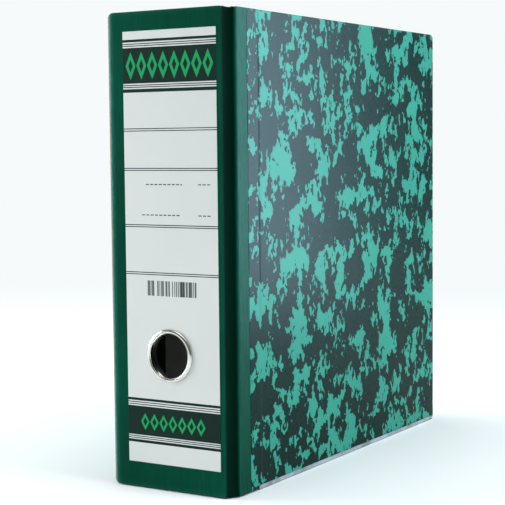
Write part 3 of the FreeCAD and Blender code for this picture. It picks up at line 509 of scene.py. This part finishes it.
def clothPiece(side, name):
    # Green cloth of one side in one piece: spine face, ridge, hollow groove, ridge of the cover and the strip
    # under the paper. It is drawn for the front cover, and the back one is mirrored about the spine's middle.
    spineLow, spineHigh = nodeBox("spine_cloth")
    coverLow, coverHigh = nodeBox("front_cloth_edge")
    middle = (spineLow[0] + spineHigh[0]) / 2
    front = side == "front"
    ridge = clothHalf["ridgeFront"] if front else clothHalf["ridgeBack"]
    corner = clothHalf["cornerFront"] if front else clothHalf["cornerBack"]
    seam = middle + (clothHalf["seam"] if front else -clothHalf["seam"])
    face, inside, sideX = spineLow[1], spineHigh[1], spineHigh[0]
    outX, inX, near, paper = coverHigh[0], coverLow[0], coverLow[1], coverHigh[1]
    round2, skin = clothHalf["coverRidge"], clothHalf["grooveSkin"]
    endY = paper + clothHalf["underPaper"]
    counts = (40 if not front else 16, 10, 40, 4, 26)
    hollow = (sideX + clothHalf["hollowOut"], near - clothHalf["hollowBefore"])
    outer = np.concatenate([
        straight((seam, face), (sideX - ridge, face), counts[0]),
        arc((sideX - ridge, face + ridge), ridge, -90, 0, counts[1] + 1)[1:],
        bezier((sideX, face + ridge), (sideX, near - 2.8), (sideX + 1, near - 1.3), hollow,
               counts[2] // 2 + 1)[1:],
        bezier(hollow, (hollow[0] + 1.2, hollow[1] + 0.5), (outX, near + 0.3), (outX, near + round2),
               counts[2] // 2 + 1)[1:],
        straight((outX, near + round2), (outX, near + round2 + 0.4), counts[3] + 1)[1:],
        straight((outX, near + round2 + 0.4), (outX, endY), counts[4] + 1)[1:]])
    inner = np.concatenate([
        straight((seam, inside), (sideX - skin - 0.3, inside), counts[0]),
        straight((sideX - skin - 0.3, inside), (sideX - skin, inside + 0.1), counts[1] + 1)[1:],
        bezier((sideX - skin, inside + 0.1), (sideX - skin + 0.3, near - 0.8), (inX + 0.2, near - 1.8),
               (inX, near + round2), counts[2] + 1)[1:],
        straight((inX, near + round2), (inX, near + round2 + 0.4), counts[3] + 1)[1:],
        straight((inX, near + round2 + 0.4), (inX, endY), counts[4] + 1)[1:]])
    # the groove's ends lie a little below the boards' ends, and the spine's corner is rounded in front view
    low = np.full(len(outer), spineLow[2])
    high = np.full(len(outer), spineHigh[2])
    groove = slice(counts[0] + counts[1], counts[0] + counts[1] + counts[2])
    dip = clothHalf["grooveDip"] * np.sin(np.pi * np.linspace(0, 1, counts[2]) ** 0.8)
    low[groove] += dip * 0.2
    high[groove] -= dip
    past = np.clip(outer[:counts[0] + counts[1], 0] - (sideX - corner), 0, corner)
    drop = corner - np.sqrt(np.maximum(corner ** 2 - past ** 2, 0))
    low[:len(past)] += np.minimum(drop, corner * 0.8)
    high[:len(past)] -= np.minimum(drop, corner * 0.8)
    fade = np.linspace(1, 0, counts[2])
    low[groove] += corner * 0.8 * fade ** 3 * (0 if front else 1)
    high[groove] -= corner * 0.8 * fade ** 3 * (0 if front else 1)

    def ripple(flat, height, isOuter):
        # Slow waves of the glued cloth, and small creases in the strip near its foot. The groove runs out at
        # the foot: it is filled up towards the line from one ridge to the other.
        strip = ease((flat[..., 1] - near) / 2) * isOuter
        foot = np.exp(-(height - spineLow[2]) / clothHalf["creaseReach"])
        crease = np.sin((flat[..., 1] - near) * 1.9 + height * 0.35)
        crease = crease * clothHalf["creaseHeight"] * strip * foot
        slow = clothHalf["waveHeight"] * np.sin(height / 17.0 + flat[..., 1] * 0.3)
        slow = slow * np.sin(height / 7.3 + 1.3)
        bridge = sideX + (outX - sideX) * ease((flat[..., 1] - face - ridge) / (near - face - ridge))
        toFoot = clothHalf["footFill"] * np.exp(-(height - spineLow[2]) / 3.0) * isOuter
        inGroove = (flat[..., 1] > face + ridge) & (flat[..., 1] < near)
        push = crease + slow * strip + np.maximum(bridge - flat[..., 0], 0) * toFoot * inGroove
        facePush = slow * (1 - strip) * isOuter * 0.8
        return np.stack([push, facePush * ease((sideX - 1 - flat[..., 0]) / 2)], axis=-1)

    def wearAndPaintedLightOf(points):
        # rubbed along the front ridge, on the cover's ridge and at the head and foot; along the back ridge a
        # painted highlight; over the strip a little wear and a painted highlight that grows towards the top;
        # painted shade in the groove
        x, y, z = points[..., 0], points[..., 1], points[..., 2]
        onRidge = np.exp(-((x - sideX) ** 2 + (y - face) ** 2) / (0.9 if front else 5))
        onCover = np.exp(-((x - outX) ** 2 + (y - near) ** 2) / 1.2)
        ends = np.exp(-(spineHigh[2] - z) / 0.7) + np.exp(-(z - spineLow[2]) / 0.9)
        # the strip's share that grows with height is a painted highlight
        strip = ease((y - near) / 1.5) * (0.05 + 0.25 * ease((z - spineLow[2]) / 150))
        # the back ridge's large share is a painted highlight, the rest is wear
        rubAndSheen = (0.1 if front else 0.95) * onRidge + 0.2 * onCover + 0.3 * ends + strip
        # painted shade: the groove gets negative values, which darken its cloth
        groove = ease((y - face) / (1.1 if front else 2.4)) * ease((near + 0.3 - y) / 1.1)
        return np.clip(rubAndSheen * (1 - groove) - 0.85 * groove, -1, 1)

    grooveStart = counts[0] + counts[1] - 2
    piece = foldedStrip(name, outer, inner, low, high, clothHalf["edge"], clothHalf["rows"],
                        [bookcloth, hingeCloth], innerMaterial=(grooveStart, grooveStart + counts[2] + 4),
                        ripple=ripple, wearAndPaintedLightOf=wearAndPaintedLightOf)
    if not front:
        mirror(piece, middle)
    return piece


def mirror(piece, middle):
    # turns a piece round about the plane x = middle, and its faces outwards again
    piece.data.transform(Matrix.Translation((2 * middle * mm, 0, 0)) @ Matrix.Diagonal((-1, 1, 1, 1)))
    piece.data.flip_normals()


def cutHole(piece, centre, radius, low, high):
    # cuts a round hole along Y and keeps the result as the piece's own mesh
    bpy.ops.mesh.primitive_cylinder_add(vertices=96, radius=radius * mm, depth=(high - low) * mm,
                                        location=(centre[0] * mm, (low + high) / 2 * mm, centre[1] * mm),
                                        rotation=(math.pi / 2, 0, 0))
    cutter = bpy.context.object
    boolean = piece.modifiers.new("hole", "BOOLEAN")
    boolean.operation = "DIFFERENCE"
    boolean.solver = "EXACT"
    boolean.object = cutter
    bpy.context.view_layer.update()
    whole = piece.evaluated_get(bpy.context.evaluated_depsgraph_get())
    mesh = bpy.data.meshes.new_from_object(whole)
    piece.modifiers.clear()
    piece.data = mesh
    bpy.data.objects.remove(cutter)


frontCloth = clothPiece("front", "green_cloth_front")
backCloth = clothPiece("back", "green_cloth_back")
ringLow, ringHigh = nodeBox("finger_ring")
ringMiddle = (ringLow + ringHigh) / 2
cutHole(backCloth, (ringMiddle[0], ringMiddle[2]), clothHalf["hole"], ringLow[1] - 2, ringHigh[1] + 2)
print("stage: green cloth made")

paperPlate = {"rise": 0.14, "band": 10.0, "bandFade": 0.9, "edge": 0.75, "innerEdge": 0.2, "nearEdge": 0.1,
              "corner": 3.0}


def marbledPlate(side, name):
    # Marbled paper round a cover. Rows and columns run over the cover with close lines at the borders. The
    # distance to the rounded outline gives the thickness, a quarter ellipse at the edge, on both faces,
    # which meet at the rim.
    low, high = nodeBox("front_paper")
    edge, corner = paperPlate["edge"], paperPlate["corner"]
    turn = np.radians(np.linspace(0, 90, 8))
    border = np.concatenate([edge * (1 - np.cos(turn)), edge + (corner - edge) * np.linspace(0, 1, 7)[1:]])
    depth, tall = high[1] - low[1], high[2] - low[2]
    nearLines = np.array([0, 0.02, 0.05, 0.1, 0.6, 2.5, 5.5, 8.5, 9.6, 10, 10.3, 10.6, 11, 12.5])
    inner = np.linspace(12.5, depth - corner, 90)[1:-1]
    rows = np.concatenate([border, np.linspace(corner, tall - corner, 110)[1:-1], tall - border[::-1]])
    fromEnd = np.minimum(rows, tall - rows)
    cut = corner - np.sqrt(np.maximum(corner ** 2 - np.maximum(corner - fromEnd, 0) ** 2, 0))
    farLines = depth - border[::-1]
    columns = np.concatenate([nearLines, inner, farLines])
    # near the far corners the last columns move in with the arc
    pull = np.clip((columns - (depth - 3 * corner)) / (2 * corner), 0, 1)
    y = columns[None, :] - cut[:, None] * pull[None, :]
    z = np.repeat(rows[:, None], len(columns), axis=1)
    fromNear = y
    fromFar = (depth - cut[:, None]) - y
    sideways = np.minimum(z, tall - z)
    inCorner = (depth - y < corner) & (sideways < corner)
    rounded = corner - np.hypot(corner - (depth - y), corner - sideways)
    distance = np.where(inCorner, rounded, np.minimum(depth - y, sideways))
    distance = np.maximum(np.minimum(distance, np.where(fromFar < 1e-9, 0, distance)), 0)

    def quarter(value):
        return np.sqrt(1 - (1 - np.clip(value, 0, 1)) ** 2)

    step = paperPlate["rise"] * (1 - ease((fromNear - paperPlate["band"]) / paperPlate["bandFade"]))
    wave = 0.03 * np.sin(z / 23) * np.sin(y / 31 + 0.7) + 0.02 * np.sin(z / 9 + y / 13)
    half = (high[0] - low[0]) / 2
    middle = low[0] + half
    near = quarter(fromNear / paperPlate["nearEdge"])
    outerX = middle + (half + step + wave * quarter(distance / 6)) * quarter(distance / edge) * near
    innerX = middle - half * quarter(distance / paperPlate["innerEdge"]) * near
    place = np.stack([y + low[1], z + low[2]], axis=-1)
    outerFace = np.concatenate([outerX[..., None], place], axis=-1).reshape(-1, 3)
    innerFace = np.concatenate([innerX[..., None], place], axis=-1).reshape(-1, 3)
    quads = gridQuads(len(rows), len(columns))
    points = np.concatenate([outerFace, innerFace])
    quads = np.concatenate([quads, quads[:, ::-1] + len(outerFace)])
    wear = np.exp(-distance / 0.5) * 0.5 + np.exp(-np.hypot(depth - y, sideways) / 2.5) * 0.7
    wear = np.concatenate([wear.ravel(), wear.ravel()])
    piece = makePiece(name, points, quads, [marbled], wear=np.clip(wear, 0, 1), sharpAbove=50)
    if side == "back":
        spineLow, spineHigh = nodeBox("spine_cloth")
        mirror(piece, (spineLow[0] + spineHigh[0]) / 2)
    return piece


frontPaper = marbledPlate("front", "marbled_paper_front")
backPaper = marbledPlate("back", "marbled_paper_back")
print("stage: marbled paper made")

railStrip = {"sheet": 0.4, "bend": 0.55, "rows": 30, "edge": 0.12}


def railPiece(side, name):
    # steel strip folded to a U round the foot of a cover: two legs, two bends and the bottom, carried along
    # the cover
    low, high = nodeBox(side + "_rail")
    sheet, bend = railStrip["sheet"], railStrip["bend"]
    outer = np.concatenate([
        straight((low[0], high[2]), (low[0], low[2] + bend), 5),
        arc((low[0] + bend, low[2] + bend), bend, 180, 270, 7)[1:],
        arc((high[0] - bend, low[2] + bend), bend, 270, 360, 7),
        straight((high[0], low[2] + bend), (high[0], high[2]), 5)[1:]])
    small = bend - sheet
    inner = np.concatenate([
        straight((low[0] + sheet, high[2]), (low[0] + sheet, low[2] + bend), 5),
        arc((low[0] + bend, low[2] + bend), small, 180, 270, 7)[1:],
        arc((high[0] - bend, low[2] + bend), small, 270, 360, 7),
        straight((high[0] - sheet, low[2] + bend), (high[0] - sheet, high[2]), 5)[1:]])
    return foldedStrip(name, outer, inner, low[1], high[1], railStrip["edge"], railStrip["rows"], [railSteel],
                       order=(0, 2, 1))


frontRail = railPiece("front", "edge_rail_front")
backRail = railPiece("back", "edge_rail_back")

ringShape = {"segments": 144, "hole": 11.0, "wall": 0.4, "bead": 0.3, "flare": 0.9}


def ringPiece(name):
    # The finger ring is a profile turned about its own axis. The flange is a half ellipse from the outer rim
    # to the throat with a fine bead at the inside; the tube goes back through the board and flares out
    # behind it.
    low, high = ringLow, ringHigh
    label = nodeBox("spine_label")[0][1]
    outerRadius = (high[0] - low[0]) / 2
    hole, wall, flared = ringShape["hole"], ringShape["wall"], ringShape["flare"]
    q = np.linspace(0, 1, 28)
    half = (outerRadius - hole) / 2
    bead = ringShape["bead"] * np.exp(-((q - 0.9) / 0.05) ** 2) - 0.25 * np.exp(-((q - 0.78) / 0.05) ** 2)
    crown = (label - low[1]) * np.sqrt(np.maximum(1 - (2 * q - 1) ** 2, 0)) ** 0.85
    crown = np.minimum(crown + bead * np.sin(np.pi * q) ** 0.4, label - low[1])
    frontPath = np.stack([outerRadius - 2 * half * q, label - crown], axis=1)
    tube = straight((hole, label), (hole, high[1] - flared), 6)[1:]
    bend = np.radians(np.linspace(0, 90, 7))
    bendBack = np.radians(np.linspace(90, 0, 7))
    bendCentre = np.array([hole + flared, high[1] - flared])
    flare = bendCentre + flared * np.stack([-np.cos(bend), np.sin(bend)], axis=1)[1:]
    outside = np.concatenate([frontPath, tube, flare])
    backFlare = bendCentre + (flared - wall) * np.stack([-np.cos(bendBack), np.sin(bendBack)], axis=1)
    sunk = 0.05  # the flange's underside lies this far behind the label's face
    backTube = straight((hole + wall, high[1] - flared), (hole + wall, label + sunk), 6)[1:]
    underside = straight((hole + wall, label + sunk), (outerRadius - 0.15, label + sunk), 5)[1:]
    profile = np.concatenate([outside, backFlare, backTube, underside])
    angle = np.linspace(0, 2 * np.pi, ringShape["segments"], endpoint=False)[:, None]
    x = ringMiddle[0] + profile[:, 0] * np.cos(angle)
    z = ringMiddle[2] + profile[:, 0] * np.sin(angle)
    y = np.repeat(profile[None, :, 1], len(angle), axis=0)
    points = np.stack([x, y, z], axis=-1).reshape(-1, 3)
    quads = gridQuads(len(angle), len(profile), closedRows=True, closedColumns=True)
    column = quads[:, 0] % len(profile)
    inTube = (column >= len(frontPath)) & (column < len(outside))  # the throat is duller, and near-black as painted shade for the dark inside that it reflects
    return makePiece(name, points, quads, [ringNickel, throatSteelPaintedDark], inTube, sharpAbove=50)


fingerRing = ringPiece("rolled_finger_ring")
print("stage: rails and finger ring made")

finishes = {
    "spine_board": greyboard, "front_board": greyboard, "back_board": greyboard,
    "spine_label": labelPaper, "spine_lining": lining,
    "front_lining": lining, "back_lining": lining,
    "front_inner_cloth": hingeCloth, "back_inner_cloth": hingeCloth,
    "finger_ring_washer": nickel, "base_plate": nickel, "plate_rivets": nickel,
    "lower_post": nickel, "upper_post": nickel, "arch_wire": nickel, "lever_arm": nickel,
    "lever_pin": railSteel, "roller_pin": railSteel, "lever_roller": blackPlastic, "lever_grip": blackPlastic,
    "compressor_bar": nickel, "compressor_catches": blackPlastic, "arch_spring": springSteel,
}
for name, node in nodes.items():
    node.data.materials.clear()
    node.data.materials.append(finishes.get(name, bookcloth))

rounded = {"base_plate": 0.25, "lever_arm": 0.3, "lever_grip": 0.8, "compressor_bar": 0.3,
           "compressor_catches": 0.35, "arch_spring": 0.12, "lever_roller": 0.3}
for name, width in rounded.items():
    weld = nodes[name].modifiers.new("joined", "WELD")
    weld.merge_threshold = 0.002 * mm
    bevel = nodes[name].modifiers.new("rounded", "BEVEL")
    bevel.width = width * mm
    bevel.segments = 2
    bevel.limit_method = "ANGLE"
    bevel.angle_limit = math.radians(35)
print("stage: finishes given to the CAD nodes")

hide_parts("front_joint_cloth", "front_cloth_edge")
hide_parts("spine_cloth", "back_joint_cloth", "back_cloth_edge")
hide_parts("front_paper")
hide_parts("back_paper")
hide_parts("front_rail")
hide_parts("back_rail")
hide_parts("finger_ring")
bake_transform(frontCloth)
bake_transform(backCloth)
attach(frontPaper, "front_cover")
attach(frontRail, "front_cover")
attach(backPaper, "back_cover")
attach(backRail, "back_cover")
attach(fingerRing, "spine")

studio = {"floorSize": 14.0, "near": 0.3, "far": 1.1, "background": "#F6FAFB", "floor": "#EDF2F4",
          "ambient": 0.24}


def studioFloor():
    # a pale matt floor that fades into the colour of the background away from the object
    material = newMaterial("paleStudioFloor")
    place = addNode(material, "TexCoord", output="Object")
    reach = addNode(material, "VectorMath", {"operation": "LENGTH"}, {0: place}, output="Value")
    fade = addNode(material, "MapRange", {"interpolation_type": "SMOOTHSTEP"},
                   {"Value": reach, "From Min": studio["near"], "From Max": studio["far"]})
    seen = addNode(material, "LightPath", output="Is Camera Ray")  # the glow lights nothing
    fade = addNode(material, "Math", {"operation": "MULTIPLY"}, {0: fade, 1: seen})
    matt = addNode(material, "BsdfDiffuse", None, {"Color": studio["floor"]})
    glow = addNode(material, "Emission", None, {"Color": studio["background"]})
    both = addNode(material, "MixShader", None, {0: fade, 1: matt, 2: glow})
    addNode(material, "OutputMaterial", None, {"Surface": both})
    half = studio["floorSize"] / 2
    mesh = bpy.data.meshes.new("floor")
    corners = [(-half, -half, 0), (half, -half, 0), (half, half, 0), (-half, half, 0)]
    mesh.from_pydata(corners, [], [(0, 1, 2, 3)])
    mesh.materials.append(material)
    floor = bpy.data.objects.new("floor", mesh)
    bpy.context.scene.collection.objects.link(floor)


def softBox(name, place, size, power, tint, aim=(0, 0, 0.12), matt=True, gloss=True):
    # an area light; it can light matt surfaces, show in glossy ones, or both
    light = bpy.data.lights.new(name, "AREA")
    light.shape = "RECTANGLE"
    light.size, light.size_y = size
    light.energy = power
    light.color = colour(tint)[:3]
    holder = bpy.data.objects.new(name, light)
    holder.location = place
    holder.rotation_euler = (Vector(aim) - Vector(place)).to_track_quat("-Z", "Y").to_euler()
    holder.visible_camera = False
    holder.visible_diffuse = matt
    holder.visible_glossy = gloss
    bpy.context.scene.collection.objects.link(holder)


def studioWorld():
    # the camera sees a bright backdrop all round, and the object gets a weaker, even light from it
    world = bpy.data.worlds.new("studio")
    world.use_nodes = True
    world.node_tree.nodes.clear()
    seen = addNode(world, "LightPath", output="Is Camera Ray")
    strength = addNode(world, "MapRange", None, {"Value": seen, "To Min": studio["ambient"], "To Max": 1.0})
    shade = addNode(world, "Background", None, {"Color": studio["background"], "Strength": strength})
    addNode(world, "OutputWorld", None, {"Surface": shade})
    bpy.context.scene.world = world


def studioCamera():
    view = {"azimuth": 31.458, "elevation": 4.369, "roll": -0.576, "distance": 675.6, "lens": 100.85,
            "aimRight": 50.5, "aimUp": 122.1}
    low, high = nodeBox("spine_cloth")
    aim = Vector(((low[0] + high[0]) / 2 + view["aimRight"], low[1], view["aimUp"])) * mm
    around, up, roll = (math.radians(view[key]) for key in ("azimuth", "elevation", "roll"))
    back = Vector((math.sin(around) * math.cos(up), -math.cos(around) * math.cos(up), math.sin(up)))
    right = back.cross(Vector((0, 0, -1))).normalized()
    above = back.cross(right)
    right, above = (right * math.cos(roll) + above * math.sin(roll),
                    above * math.cos(roll) - right * math.sin(roll))
    camera = bpy.data.cameras.new("camera")
    camera.lens = view["lens"]
    camera.sensor_width = 36
    holder = bpy.data.objects.new("camera", camera)
    turned = Matrix((right, above, back)).transposed().to_4x4()
    holder.matrix_world = Matrix.Translation(aim + back * view["distance"] * mm) @ turned
    bpy.context.scene.collection.objects.link(holder)
    bpy.context.scene.camera = holder


studioFloor()
softBox("overhead", (0.15, 0.1, 1.7), (1.8, 1.8), 24, "#FFFFFF")
softBox("left_side", (-1.9, -0.6, 0.6), (1.4, 1.0), 54, "#FBFEFF")
softBox("front_fill", (-0.3, -1.5, 0.8), (1.0, 1.0), 4.0, "#FFFFFF", gloss=False)
softBox("right_soft", (1.1, 0.1, 0.9), (0.8, 0.8), 9, "#F2FAFF", gloss=False)
softBox("right_back", (0.42, 0.3, 0.36), (0.36, 0.66), 21, "#CCE6FF", aim=(0.04, 0.08, 0.38), matt=False)
studioWorld()
studioCamera()
bpy.context.scene.view_settings.view_transform = "Standard"  # paper white stays near white
print("stage: floor, lights and camera placed")

print("stage: finished")
